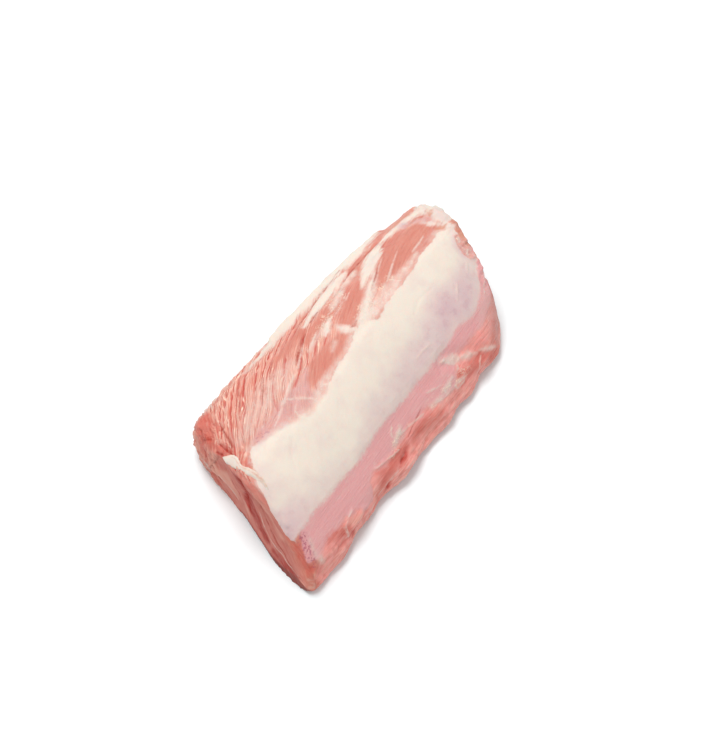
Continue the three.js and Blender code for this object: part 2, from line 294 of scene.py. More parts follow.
# Edges of fat that have dried. Along the flap's roll the tan crease is partly painted shade.
TAN_LINES = dict(
    flap_crease_shade=top((-93, 4, 0.6), (-95, 0, 0.9), (-96.4, -4, 0.8), (-98, -8.5, 0.4)),
    far_rim=top((106.5, 2, 3), (104, -5, 4.4), (101.5, -11, 4.4), (99, -18, 3.6), (97, -23, 2)),
    cap_bit=top((108, 20, 2), (107, 16.5, 3.6), (104.5, 15, 2)),
    low_cap_bit=top((104, 3, 1.4), (101, 4, 2.4), (98, 7, 2)),
    outer_cap_bit=top((104, 30, 1.6), (98, 32, 2), (92, 34, 1.8), (86, 35.5, 1)),
    far_strip_edge=top((76, 33.6, 0.5), (86, 32.6, 0.8), (96, 31.2, 0.7)),
)
# Threads, folds and flecks of film.
PALE_LINES = dict(
    loop=top(
        (-72, -47.5, 0.2), (-77, -48.4, 0.6), (-81.5, -49.3, 0.8), (-83, -52.3, 0.7), (-82.5, -55, 0.3),
    ),
    edge=top((-26, -48.4, 0.4), (-33, -47.4, 0.5), (-44.5, -45.3, 0.2)),
    film_edge=top(
        (-33, 18, 0.6), (-40, 16, 1.3), (-47, 14, 1.7), (-55, 11.4, 1.5), (-61.5, 9, 1), (-66, 8, 0.4),
    ),
    front_band=top((-49, 12.4, 0.4), (-45.4, 9, 1.4), (-42.4, 4.4, 1.7), (-40, 1, 1), (-39, -2, 0.3)),
    front_fold=top((-48, 6, 0.3), (-52, 3.6, 0.8), (-53, 1, 0.9), (-49, -3, 0.4)),
    upper_front_fold=top((-70, 13, 0.3), (-62, 17, 0.7), (-53, 22, 0.6), (-46, 26, 0.2)),
    tear=top((1, -48, 0.6), (-10, -46, 0.8), (-19, -45, 1)),
    bit=top((-20, -40, 1), (-23, -41, 1.2), (-24, -43, 0.7)),
    other_bit=top((-17, -44, 1.2), (-20, -44.5, 1.6)),
    curl=top(
        (29, -39.4, 0.9), (33, -40.8, 1.9), (35.3, -43.8, 1.7), (37.9, -46.4, 1.8), (37.2, -48.4, 1.5),
        (33.6, -49, 0.6),
    ),
    far_loop=top((38, -52, 0.6), (36, -54, 0.8), (30, -53.5, 0.7), (28, -51.5, 0.5)),
    end_line=top((55.4, -53.6, 0.5), (52, -54.8, 0.7), (48, -56.4, 0.4)),
    far_tear=top((26, -52, 0.8), (20, -51.5, 1), (12, -50, 0.5)),
    far_thread=top((11, -43.5, 0.5), (16, -45.2, 0.8), (21, -46.8, 0.5)),
    foot_thread=top((-66, -53.5, 0.2), (-54, -52, 0.5), (-44, -52.5, 0.5), (-34, -54, 0.2)),
    bare_line=top((48, 9, 0.6), (55, 11.5, 1), (63, 14.5, 0.8), (71, 17, 0.3)),
    other_bare_line=top((52, 18, 0.4), (58, 20.5, 0.7), (63, 22.5, 0.4)),
    far_bare_line=top((75, 9, 0.7), (82, 9.2, 1), (89, 10, 0.6)),
    speckle=top((31, 29, 0.8), (28, 27.5, 1.1), (25, 28.5, 0.8), (22, 27, 0.5)),
    low_speckle=top((27, 25, 0.6), (24, 24, 0.9), (21, 25, 0.5)),
    high_wisp=top((25, 27, 0.3), (18, 25, 0.8), (11, 25.4, 0.3)),
    middle_wisp=top((20, 22.4, 0.3), (13, 21.6, 0.8), (8, 23, 0.3)),
    far_wisp=top((31, 24, 0.3), (25, 22.4, 0.8), (20, 23.4, 0.3)),
    low_wisp=top((-1, 24.4, 0.2), (-8, 22.4, 0.8), (-15, 20.4, 0.3)),
    patch_fleck=top((100, -7, 0.6), (97.6, -10, 1.2), (96.6, -12.6, 0.5)),
    low_patch_fleck=top((97.6, -15, 0.6), (95.6, -16.4, 1.1), (94, -18.6, 0.5)),
    middle_hook=top((24, 11.5, 0.7), (27, 11.5, 1), (28, 13, 0.7)),
    slit_lip=top((-12, 26.5, 0.4), (-20, 23, 0.8), (-28, 19, 0.6)),
    thin_crease=top((33, -31, 0.6), (26, -30, 0.8), (20, -30, 0.5)),
    arc=top((75, -22.4, 0.6), (71, -25, 1), (66, -28.6, 0.6)),
    lilac_fleck=top((90.5, -19.6, 0.8), (88, -21.4, 1.4), (85.4, -23.6, 0.7)),
    lilac_edge=top((95, -28.4, 0.8), (90, -33, 1.4), (84, -37, 1)),
    cut_thread=near(
        (-8, 30, 0.2), (-11.5, 23.5, 0.6), (-17, 17.6, 0.7), (-24.5, 13.6, 0.6), (-33, 11.4, 0.5),
        (-42, 10, 0.2),
    ),
    cut_side_thread=near((30, 25, 0.4), (22, 21, 0.6), (12, 12, 0.4)),
)
# Spots of blood under the silverskin.
STAIN_MARKS = dict(
    corner=top((-103, -34, 2), (-105.5, -38.5, 5), (-108, -44, 5), (-110.5, -49, 3)),
    below=top((-107, -44, 1.4), (-111, -50, 1.6)),
    by_the_band=top((-81, 11.5, 2), (-76, 10, 2.6), (-71, 8.5, 1.6)),
)
# Where the fat has been cut away.
BARE_MARKS = dict(
    end=top((92, -33, 3), (88, -40, 5), (87, -46, 5)),
    far_patch=top((99.5, -6, 3), (97.5, -11, 5.4), (95.8, -16, 5.4), (95, -20, 2)),
    far_rim=top((106.5, 2, 3), (103.5, -5, 5), (101, -12, 5), (98.5, -19, 4.4), (96.5, -25, 3)),
    crumbs=top((-87, 15, 5), (-89.5, 11, 5), (-93, 5, 3)),
    tip=top((-112, -33, 3), (-115, -40, 5), (-117, -50, 8)),
)
# Muscle that the knife has left smooth, without streaks.
SMOOTH_MARKS = dict(
    middle=top((11, 12, 9), (17, 14, 12), (26, 16.5, 11), (35, 18, 9), (43, 18.5, 4)),
    low=top((-34, 8, 5), (-22, 9, 10), (-10, 9, 11), (3, 7.5, 7)),
    far=top((46, 13, 7), (58, 15, 13), (72, 17, 17), (86, 17, 17), (96, 15, 9)),
    edge=top((-30, 34, 5), (-16, 33, 8), (-4, 33, 5)),
    upper=top((-10, 25, 5), (0, 26, 9), (10, 26, 8), (22, 24, 5)),
    strip=top((70, 34.5, 3), (56, 33, 5), (44, 31, 5)),
)
# Places where the muscle is redder than the rest: the near shoulder, the foot and the tip. Below the fold
# the red also stands for the fold's painted shadow.
RED_MARKS = dict(
    shoulder=top((-80, 50, 14), (-84, 43, 13), (-88, 37, 9)),
    below_the_pit=top((-90.8, 31, 4), (-92, 26, 6), (-92, 20, 4)),
    shoulder_face=near((44, 38, 9), (41, 30, 8), (38, 20, 5)),
    torn_flank=top((-20, -50, 5), (-31, -50.5, 7), (-42, -51, 7), (-52, -52, 4)),
    crumb=top((-91, 8.5, 2.4), (-92.5, 5.5, 2)),
    gap=top((-23.5, -52.2, 3), (-28, -52.9, 4), (-31, -53, 2)),
    small_gap=top((-41, -53, 2), (-44, -53.4, 3), (-47, -53, 2)),
    slit=top((-36, -50, 1.4), (-41, -49, 2), (-45, -48, 1)),
    front_patch=top((-94, -47, 4), (-89, -47.5, 6), (-84, -50, 5), (-79, -53, 4)),
    far_rim=top((93, -34, 4), (88, -42, 6), (84, -48, 6)),
    red_and_shadow_under_the_fold=top((36, -51, 4), (44, -54, 6), (56, -57.5, 9), (68, -58, 10)),
    end=top((78, -50, 10), (70, -55, 10)),
    foot=top((10, -54, 4), (-4, -51, 6), (-14, -51, 4)),
    tip=top((-112, -38, 3), (-115, -45, 5), (-117, -53, 7)),
    far_cut_middle=far((10, 30, 10), (-4, 22, 14), (-18, 16, 9)),
)
# Warm orange muscle under the strands of the near shoulder, right of the pit and at the tip.
WARM_MARKS = dict(
    fan=top((-82, 36, 14), (-70, 36, 18), (-56, 36, 16), (-42, 34, 9)),
    edge=top((-78, 48, 8), (-60, 47, 9), (-44, 44, 6), (-30, 38, 6)),
    crumbs=top((-86, 17, 6), (-89, 12, 6), (-92.5, 6.5, 4)),
    tip=top((-111, -34, 5), (-114, -40, 7), (-116, -47, 9), (-116.5, -53, 9)),
    tip_of_the_cut=near((-38, 31, 4), (-43, 25, 6), (-48, 16, 8), (-51, 8, 9)),
)
# Painted shade: the muscle is drawn dark in the hollow in the middle of the cuts and at their foot.
CUT_SHADE_MARKS = dict(
    cut_gash=near((14, 46, 2), (9, 46, 6), (5, 43, 8), (2, 36, 6)),
    cut_middle=near((4, 31, 5), (2, 25, 8), (-3, 20, 9), (-10, 15, 7), (-16, 11, 4)),
    cut_low=near((-22, 9, 4), (-30, 7, 7), (-39, 7, 6)),
    cut_foot=near((10, 2, 3), (-6, 2, 5), (-20, 2, 6), (-34, 2, 5), (-46, 3, 2)),
    far_cut_middle=far((10, 30, 6), (-4, 22, 9), (-18, 16, 6)),
    far_cut_foot=far((36, 3, 4), (0, 3, 6), (-40, 3, 4)),
)
# Painted shade: the muscle is drawn darker and redder in the pit, by the flap, in the gaps at the foot of
# the flank and in a few small spots.
PIT_AND_GAP_SHADE_MARKS = dict(
    pit=top((-89.6, 28, 1.6), (-90.2, 24, 3), (-90, 20, 2.4), (-89.4, 18, 1)),
    by_the_flap=top((-93, 28, 1), (-93.8, 25.5, 1.6), (-94, 23, 1)),
    crumb=top((-91.5, 7.5, 1.2), (-92.6, 5.6, 1.4)),
    gap=top((-23, -52, 2.4), (-27, -52.7, 3.4), (-30, -53, 1.6)),
    small_gap=top((-42, -53.2, 1), (-44.4, -53.4, 1.8)),
    front_gap=top((-78.5, -53, 1), (-80.5, -53.4, 1.8)),
    cut_spot=near((4, 24, 1.4), (3, 21, 1.8)),
)
# Painted shade: the foot of the near cut, where it meets the table, drawn nearly black.
FOOT_SHADE_MARKS = dict(
    foot=near((6, 1, 1.6), (-8, 1, 3), (-20, 1, 4), (-32, 1.4, 6), (-42, 2.2, 7), (-49, 2.6, 5)),
)
# Places where the muscle is paler: folds at the shoulder and parts of the cuts.
PALE_MARKS = dict(
    shoulder_fold=top((-81, 38, 4), (-85, 33, 6), (-88, 27, 4)),
    pit_side=top((-84, 24, 2), (-87, 17, 3)),
    crumbs=top((-86, 15, 2), (-88, 12, 2.4)),
    cut_side=near((38, 26, 8), (29, 22, 13), (20, 26, 11), (14, 16, 6)),
    cut_block=near((5, 22, 2), (4, 16, 3), (2, 11, 2)),
    cut_strip=near((-6, 49, 4), (-12, 44, 5.4), (-18, 37, 5.4), (-26, 28, 4.4)),
    in_the_loop=top((-76, -51, 4), (-71, -52, 4)),
    far_cut=far((30, 26, 14), (-14, 34, 10), (-36, 20, 12)),
)
# Swellings and hollows that are wider than the lines, with their height in millimetres.
SWELLS = dict(
    shoulder_lump=top((-80, 50, 12), (-85, 42, 10), rise=1.3),
    shoulder_fold=top((-81, 37, 4), (-85, 32, 6), (-88, 26, 4), rise=0.9),
    pit=top((-89.6, 28, 3), (-90.3, 23, 4.4), (-89.6, 18.5, 3), rise=-1.6),
    shoulder_crease=top((-78.5, 37.5, 2), (-84.5, 26, 3), (-88, 19.5, 3), rise=-0.9),
    upper_crease=top((-78, 48, 2), (-79.5, 40, 3), rise=-0.8),
    low_crease=top((-84, 47, 2), (-85, 38, 2), rise=-0.6),
    outer_groove=top((40, 40.6, 2), (20, 40.4, 2.4), (-4, 39.8, 2), rise=-0.8),
    outer_strip=flank(
        (86, 33, 6), (68, 36, 9), (45, 38, 10), (22, 38.5, 10), (2, 38, 9), (-14, 38, 5), rise=2.6,
    ),
    far_rim=top(
        (113, 25, 9), (110, 14, 11), (107, 4, 10), (103, -6, 9), (100, -15, 8), (95, -26, 7), rise=2.2,
    ),
    tip_edge=top((-108, -31, 4), (-112, -38, 6), (-116, -46, 8), (-117, -53, 8), rise=-1.4),
    second_strip=top((40, 37.5, 4), (22, 37, 5), (3, 35, 2), rise=0.6),
    upper_groove=top((80, 33.4, 2), (60, 35, 3), (40, 34, 2), rise=-0.8),
    wedge=top((73, 30, 4), (60, 27.5, 9), (45, 22, 5), rise=0.6),
    slit=top((-5, 30.5, 2), (-15, 27, 3), (-27, 21, 2), rise=-0.8),
    slit_side=top((-3, 34, 4), (-15, 32, 6), (-30, 27, 4), rise=0.7),
    fold=top((32, -40, 4), (46, -47, 5), (67, -55.5, 4), rise=0.6),
    gap=top((-23, -52, 4), (-28, -53, 4), rise=-1),
    small_gap=top((-42, -53.4, 3), (-46, -53.4, 3), rise=-0.7),
    loop=top((-72, -48, 3), (-81, -49.5, 3), (-83, -54, 3), rise=0.6),
    in_the_loop=top((-70, -52, 7), (-77, -52, 6), rise=0.8),
    edge=top((-26, -48.4, 3), (-35, -47, 3), (-45, -45.5, 2), rise=0.7),
    cut_hollow=near((7, 47, 5), (4, 40, 9), (2, 30, 11), (-5, 20, 11), (-16, 11, 7), rise=-2),
    cut_strip=near((-6, 49, 4), (-14, 42, 6), (-26, 29, 5), rise=0.8),
    cut_side=near((38, 26, 8), (28, 20, 12), rise=0.8),
    fat_crease=top((-30, -9, 1), (-36, -15, 1.6), (-40, -22, 1), rise=-0.2),
    far_fat_crease=top((62, -14, 1), (50, -12, 1.6), (40, -15, 1), rise=-0.25),
    front_fat_crease=top((-66, -4, 1), (-74, -9, 1.6), (-80, -17, 1), rise=-0.25),
)
# Layers that follow marks: the marks, how far noise of middle and of fine size moves their edges, and how
# deep inside the marks a layer starts and is full, all in millimetres.
SOFT_LAYERS = {
    "film": (FILM_MARKS, 1.2, 0.8, -2, 2),
    "cool": (COOL_MARKS, 1.5, 0, -4, 3),
    "curl": (CURL_MARKS, 1.5, 1, -3.5, 1),
    "stain": (STAIN_MARKS, 1, 1.4, -2.6, 1.6),
    "clear": (SMOOTH_MARKS, 1.8, 0.8, -2.5, 1.5),
    "red": (RED_MARKS, 1.6, 1, -4, 2.5),
    "warm": (WARM_MARKS, 2, 1, -6, 3),
    # The next three layers are painted shade: in the hollows and at the foot of the cuts, in the pit and
    # gaps, and at the foot of the near cut.
    "deep": (CUT_SHADE_MARKS, 1.4, 0.6, -2.5, 2),
    "wet": (PIT_AND_GAP_SHADE_MARKS, 0, 0.8, -1.2, 0.8),
    "foot_shade": (FOOT_SHADE_MARKS, 0, 0.6, -1.2, 0.8),
    "pale": (PALE_MARKS, 1.4, 0.6, -2.5, 2.5),
}
MIDDLE_LINE = 6.4  # where the block's middle line lies across it
NEAR_CUT = (-100.5, 0.25)  # where the cut crosses the middle line, and its slant
FAR_CUT = (110.5, 0.42)
LINE_REACH = 2.5  # how far from a thin line its distance is kept
NOWHERE = -20  # a depth at which nothing shows
OUTSIDE = 200  # where marks are laid on from
CORE = 25  # where a mark that misses the block looks for its skin from
FOOT = 0.4  # what lies lower than this stands on the table

# The flap of fat that hangs over the near rim and the roll that it runs into: points (x, y, z) with half the
# width and half the thickness, the direction that its width lies in, and its rings and points in a ring.
FLAP = (
    (-94.6, 22.6, 47.4, 0.3, 0.25), (-94.8, 20.8, 48.7, 1.5, 0.55), (-94.9, 18.8, 50.1, 2.6, 0.7),
    (-94.9, 16.5, 51.3, 3.3, 0.75), (-95.4, 14, 52.4, 3.5, 0.8), (-96.3, 11.2, 53.4, 2.6, 0.8),
    (-97, 8.8, 54.1, 1.5, 0.8), (-97, 6.2, 54.5, 1.9, 1.1), (-96.9, 3, 54.6, 2.6, 1.4),
    (-96.7, -0.2, 54.4, 2.5, 1.4), (-96.7, -3.4, 54, 2, 1.2), (-97, -6.2, 53.3, 1.4, 0.9),
    (-97.6, -8.8, 52.6, 0.8, 0.6), (-98.4, -11, 51.7, 0.3, 0.3),
)
FLAP_LIE = Vector((-0.72, 0.1, -0.68))
FLAP_STEPS = 72
FLAP_RING = 20
FLAP_FAT = 2.4  # how deep in fat its skin lies, for its colour

# The stage, in metres and watts, with the camera's lens and sensor in millimetres.
TARGET = Vector((11.5, 6.4, 0)) * MM
SKY_STRENGTH = 0.64
TABLE_HALF = 4.0
LAMP_PLACE = Vector((0, 0.24, 1.15))
LAMP_SIZE = 0.5
LAMP_POWER = 9.7
AZIMUTH = math.radians(-56)
ELEVATION = math.radians(60)
DISTANCE = 0.95
LENS = 75.8
SENSOR = 36
CLIP_END = 20


def smooth(value, low, high):
    """Runs from 0 at low to 1 at high without corners."""
    share = np.clip((value - low) / (high - low), 0, 1)
    return share * share * (3 - 2 * share)


def along_track(x, track):
    """A track's second value at each x."""
    return np.interp(x, *zip(*track))


def noise_at(places):
    """Smooth noise from -1 to 1 at each place."""
    return np.array([noise.noise(p) for p in places])


class Skin:
    """The points of the block's skin in millimetres, and the ways to find where they lie on it."""

    def __init__(self, mesh):
        values = np.empty(len(mesh.vertices) * 3)
        mesh.vertices.foreach_get("co", values)
        self.points = values.reshape(-1, 3) / MM
        values = np.empty(len(mesh.vertices) * 3)
        mesh.vertices.foreach_get("normal", values)
        self.normals = values.reshape(-1, 3)
        faces = [p.vertices[:] for p in mesh.polygons]
        self.tree = BVHTree.FromPolygons([tuple(p) for p in self.points], faces)
        self.fine = self.swirl(3, 1)
        self.middle = self.swirl(8, 2)
        self.broad = self.swirl(24, 3)

    def swirl(self, size, seed):
        """Smooth noise from -1 to 1 whose lumps have about this size."""
        return noise_at(self.points / size + np.array((17.3, 5.1, 9.7)) * seed)

    def laid(self, mark):
        """The places on the skin that a mark's path falls on from its side."""
        axis, sign, path, _ = mark
        aim = [0, 0, 0]
        aim[axis] = -sign
        for a, b, _ in path:
            start = [a, b]
            start.insert(axis, OUTSIDE * sign)
            place = self.tree.ray_cast(start, aim)[0]
            if place is None:
                start[axis] = CORE
                place = self.tree.find_nearest(start)[0]
            yield np.array(place)

    def spans(self, mark):
        """For each straight span of a mark: distances, sides, half widths, and how far past its ends."""
        places = list(self.laid(mark))
        widths = [point[2] for point in mark.path]
        last = len(places) - 2
        for i in range(last + 1):
            step = places[i + 1] - places[i]
            share = (self.points - places[i]) @ step / (step @ step)
            held = np.clip(share, 0, 1)
            gap = self.points - places[i] - held[:, None] * step
            side = np.einsum("ij,ij->i", gap, np.cross(step, self.normals))
            half = (widths[i] + held * (widths[i + 1] - widths[i])) / 2
            before = np.maximum(-share, 0) if i == 0 else 0
            after = np.maximum(share - 1, 0) if i == last else 0
            yield np.linalg.norm(gap, axis=1), np.sign(side), half, (before + after) * np.linalg.norm(step)

    def inside(self, marks):
        """How far each point lies inside the marks, in millimetres, negative outside them."""
        depth = np.full(len(self.points), -1e3)
        for each in marks.values():
            for away, _, half, _ in self.spans(each):
                depth = np.maximum(depth, half - away)
        return depth

    def across(self, marks):
        """Distances across the nearest thin line, with a sign for its side, and the line's half width.

        The sign lets a line be drawn finer than the facets, because the distance runs through zero on it.
        """
        nearest = np.full(len(self.points), 1e3)
        signed = np.full(len(self.points), LINE_REACH)
        width = np.full(len(self.points), -LINE_REACH)
        for each in marks.values():
            for away, side, half, beyond in self.spans(each):
                closer = away < np.minimum(nearest, LINE_REACH)
                nearest = np.where(closer, away, nearest)
                signed = np.where(closer, away * side, signed)
                width = np.where(closer, half - 0.7 * beyond, width)
        return np.stack([signed, width, np.zeros(len(width))], 1)

    def swelling(self, marks):
        """Height of the soft swellings and hollows, in millimetres."""
        height = np.zeros(len(self.points))
        for each in marks.values():
            share = np.zeros(len(self.points))
            for away, _, half, _ in self.spans(each):
                share = np.maximum(share, np.exp(-((away / half) ** 2)))
            height += each.rise * share
        return height


def layers_of(skin, sizes):
    """The layers that the material draws: a table of named values, one for each point of the skin.

    Limits of places and depths are in millimetres, and limits of slopes are parts of the normal.
    """
    x, y, z = skin.points.T
    nx, ny, nz = skin.normals.T
    fine, middle, broad = skin.fine, skin.middle, skin.broad
    layers = {
        name: smooth(skin.inside(marks) + by_middle * middle + by_fine * fine, low, high)
        for name, (marks, by_middle, by_fine, low, high) in SOFT_LAYERS.items()
    }
    red, warm = layers["red"], layers["warm"]

    # The cuts. The shoulder's face is left out of the near one, which also fades out towards the tip.
    behind_near = x - NEAR_CUT[0] - NEAR_CUT[1] * (y - MIDDLE_LINE)
    before_far = FAR_CUT[0] + FAR_CUT[1] * (y - MIDDLE_LINE) - x
    near_cut = smooth(-nx, 0.45, 0.75) * smooth(-behind_near, -12, -4)
    near_cut *= 1 - smooth(z - 45.9 + 2.7 * (y - 25), -7, 8) * smooth(y, 19, 24)
    far_cut = smooth(nx, 0.45, 0.75) * smooth(-before_far, -14, -4)
    cut_face = np.maximum(near_cut, far_cut) > 0.5
    near_cut *= 1 - 0.7 * smooth(-y, 36, 48)
    cut = np.maximum(near_cut, far_cut)
    upper = smooth(z, 18, 24) * (1 - cut)
    hidden = np.maximum(smooth(ny, 0.3, 0.7) * smooth(-z, -38, -30), smooth(-nz, 0.4, 0.8))

    # Fat: the band, which hangs over the near rim but ends at the far one, and the strips.
    trimmed = along_track(x, BAND_TRIMMED) + 1.2 * middle + 1.0 * fine
    thin = along_track(x, BAND_THIN) + 0.8 * middle
    band = np.where(z > 20, np.minimum(trimmed - y, (y - thin) / 2.2), NOWHERE)
    band = np.where(np.where((x < 0) & (z > 36), nz < 0.42, cut > 0.75), NOWHERE, band)
    strips = skin.inside(FAT_MARKS) / 1.3 + 0.6 * fine + 0.5 * middle
    fat = np.minimum(np.maximum(band, strips), -skin.inside(BARE_MARKS) - 0.8 * fine - 0.4 * middle)
    strip = smooth(strips - band, -1, 1) * (1 - cut)
    feathered = smooth(-x, 26, 44) * smooth(x, -86, -76) * smooth(y, -12, -6)

    # Silverskin: on the thin flank down to its torn edge, and in patches on the sides that are hidden.
    foot = along_track(x, SILVERSKIN_FOOT) + 2 * middle + fine
    silver = np.where(y < -10, np.minimum(thin + 2 - y, z - foot), NOWHERE)
    silver = np.minimum(silver, np.where(cut > 0.5, NOWHERE, -NOWHERE))
    patches = 10 * skin.swirl(26, 4) + 2 * middle - 1.5 - 9 * smooth(np.abs(x), 78, 98)
    silver = np.where(hidden > 0.5, patches, silver)
    torn_flank = smooth(-y, 28, 36) * smooth(2 - silver, 0, 3) * (1 - cut)
    silver = silver - 12 * warm * smooth(-x, 100, 106)

    # Film: in the marks, beside the band's trimmed edge and over the far end of the flank.
    beside = smooth(trimmed - y, -5, -0.5) * smooth(y - trimmed, -1, 0.5) * upper
    beside *= 0.35 + 0.5 * smooth(middle + 0.5 * broad, -0.3, 0.4)
    far_end = smooth(x, 62, 80) * smooth(-y, 32, 40) * smooth(z, 6, 16) * (1 - cut)
    veil = smooth(skin.inside(VEIL_MARKS) + 2 * middle + fine, -5, 4)
    film = np.max([layers["film"], beside, 0.5 * veil, 0.55 * far_end], axis=0)

    # Cool places: the lilac part of the band and thin film, and the top toward the block's ends, drawn
    # cooler as painted shade.
    lilac = smooth(along_track(x, LILAC_TOP) - y + 2.5 * middle + 4 * broad, -8, 13)
    lilac *= along_track(x, LILAC_SHARE) * smooth(10 - y, 0, 10) * smooth(band, -2.5, 0)
    ends = np.maximum(0.3 * smooth(-behind_near, -22, -6), 0.3 * smooth(-before_far, -12, -4)) * upper
    cool = np.max([layers["cool"], lilac, ends, 0.7 * far_end], axis=0)

    # Streaks: strong on the bare muscle behind the shoulder, weak on the torn foot of the flank.
    fibrous = smooth(y - trimmed, 2, 7) * upper * smooth(70 - x, 20, 90)
    torn = smooth(-z, -27, -15) * smooth(-y, 30, 40) * (1 - cut)
    streak = fibrous * (1 - 0.9 * layers["clear"]) * (1 - 0.85 * red)
    streak += 0.24 * torn * (1 - 0.5 * red) * smooth(x, -108, -98)
    streak *= 1 - 0.8 * smooth(-nx, 0.3, 0.7) * smooth(y, 20, 26)

    # Ragged places: the near shoulder, the crumbs by the pit, the torn foot of the flank, the outer rim and
    # the far cap.
    shoulder = smooth(-x, 64, 80) * smooth(y, 24, 32)
    crumbs = warm * smooth(-x, 80, 85) * smooth(22 - y, 0, 4) * smooth(y, 0, 4)
    rim = smooth(y, 36, 44) * smooth(z, 26, 34) * smooth(-fat, -1, 1)
    cap = smooth(x - 0.4 * y, 90, 97) * smooth(y, -4, 2) * upper
    far_rim = smooth(-before_far, -9, -4) * smooth(z, 28, 36)
    craggy = np.max([shoulder, crumbs, 0.45 * torn, 0.7 * rim, 0.7 * cap, 0.8 * far_rim], axis=0)
    craggy *= 1 - 0.4 * red

    # Places along and across the fibres, and the phases of the strands and bundles across them.
    around = y + np.where(y > 0, 0.6, -0.6) * (55 - z)
    spread = np.clip(0.5 + np.abs(x - PIT[0]) / 60, 0.5, 1)
    fan = (around - PIT[1] - along_track(x, FIBRE_DRIFT)) / spread
    grain = np.stack([x + 0.3 * y, np.where(y > -12, fan, around), 0.3 * z], 1)
    cut_grain = np.stack([0.77 * y + 0.63 * z, 0.77 * z - 0.63 * y, 0.3 * x], 1)
    grain = np.where(cut_face[:, None], cut_grain, grain)
    strands = grain[:, 1] * MM / sizes.strand + 1.6 * noise_at(grain / (17, 4.5, 30))
    strands += 0.5 * noise_at(grain / (8, 2.2, 9) + 41)
    bundles = grain[:, 1] * MM / sizes.bundle + 0.9 * noise_at(grain / (40, 12, 40) + 13)
    crag = noise_at(grain / (10, 3.6, 4) + 29) + 0.7 * skin.swirl(2.8, 10)
    # The far end of the flank is drawn darker as painted shade, and the crests of ragged muscle are where a
    # painted highlight is drawn.
    layers.update(
        fat=fat, strip=strip, feathered=feathered, silverskin=silver, flank=torn_flank, film=film, cool=cool,
        deep=np.maximum(layers["deep"], 0.34 * far_end), craggy=craggy, crest=craggy * (1 - 0.85 * red),
        streak=streak, cut=cut, grain=grain, cords=np.stack([strands, bundles, crag], 1),
        dark_line=skin.across(DARK_LINES), tan_line=skin.across(TAN_LINES),
        pale_line=skin.across(PALE_LINES),
    )
    return layers


def relief(skin, layers, sizes):
    """Height of the surface's own relief along its normals, in millimetres."""
    on_fat = smooth(layers["fat"], -0.7, 0.7)
    bare = (1 - on_fat) * (1 - 0.8 * smooth(layers["silverskin"], -1, 1))
    strands, bundles, crag = layers["cords"].T
    slit, slit_half, _ = layers["dark_line"].T
    thread, thread_half, _ = layers["pale_line"].T
    waves = np.sin(2 * math.pi * bundles) + 0.35 * np.sin(2 * math.pi * strands)
    height = sizes.ridge / MM * bare * layers["streak"] * waves
    height += 0.15 * bare * noise_at(layers["grain"] / (14, 2.2, 9) + 31)
    height += sizes.crag / MM * layers["craggy"] * crag
    height += sizes.fat_rise / MM * on_fat * (1 + 0.25 * skin.swirl(14, 7))
    height -= sizes.slit_depth / MM * smooth(slit_half - np.abs(slit), -1, 0.5) * smooth(slit_half, 0, 0.9)
    height += 0.35 * smooth(thread_half - np.abs(thread), -0.8, 0.5)
    height += on_fat * (0.4 * skin.swirl(17, 9) + 0.12 * skin.swirl(5, 11))
    height += 0.5 * layers["strip"] * on_fat * skin.swirl(3.6, 12)
    height += 0.15 * layers["film"] + 0.5 * layers["cut"] * skin.swirl(7, 8)
    return height + skin.swelling(SWELLS) - 0.2 - 0.4 * smooth(skin.normals[:, 2], 0.5, 0.9)


def skinned(form, facet):
    """A mesh with even facets over a closed form, with the steps of the facets smoothed away."""
    thing = bpy.data.objects.new("form", form)
    bpy.context.scene.collection.objects.link(thing)
    even = thing.modifiers.new("even facets", "REMESH")
    even.mode = "VOXEL"
    even.voxel_size = facet
    ease = thing.modifiers.new("ease", "SMOOTH")
    ease.factor = 0.5
    ease.iterations = 2
    shown = thing.evaluated_get(bpy.context.evaluated_depsgraph_get())
    mesh = bpy.data.meshes.new_from_object(shown)
    bpy.data.objects.remove(thing)
    bpy.data.meshes.remove(form)
    return mesh


def store_layers(mesh, layers):
    """Keeps the layers on the mesh, where the material reads them."""
    for name, values in layers.items():
        many = values.ndim == 2
        kept = mesh.attributes.new(name, "FLOAT_VECTOR" if many else "FLOAT", "POINT")
        kept.data.foreach_set("vector" if many else "value", values.ravel())


def flap_points(path, lie, steps, ring):
    """Rings of points round a flat strip along a path, in millimetres, with wavy edges.

    Each ring comes with the distances from the crease along its upper edge.
    """
    rows = []
    creases = []
    for i in range(steps + 1):
        at = i / steps * (len(path) - 1)
        before, here, after = (
            [np.interp(at + shift, range(len(path)), part) for part in zip(*path)]
            for shift in (-0.1, 0, 0.1)
        )
        *middle, wide, thick = here
        rise = lie.cross(Vector(after[:3]) - Vector(before[:3])).normalized()
        row = []
        crease = []
        for k in range(ring):
            turn = 2 * math.pi * k / ring
            sway = 1 + 0.22 * noise.noise((i * 0.35, 3 * math.cos(turn), 3 * math.sin(turn)))
            lift = thick * math.sin(turn) * (1 + 0.3 * noise.noise((i * 0.22, k * 0.4, 7)))
            row.append(Vector(middle) + lie * (wide * sway * math.cos(turn)) + rise * lift)
            crease.append(wide * (math.cos(turn) + 0.6))
        rows.append(row)
        creases.append(crease)
    return rows, creases


def add_node(tree, kind, inputs, output=0, **settings):
    """Adds a node with its settings, feeds its inputs with values or other outputs, and gives an output."""
    made = tree.nodes.new("ShaderNode" + kind)
    for name, value in settings.items():
        setattr(made, name, value)
    for socket, value in inputs.items():
        if isinstance(value, bpy.types.NodeSocket):
            tree.links.new(value, made.inputs[socket])
        elif isinstance(value, Color):
            made.inputs[socket].default_value = (*value, 1)
        else:
            made.inputs[socket].default_value = value
    return made.outputs[output]


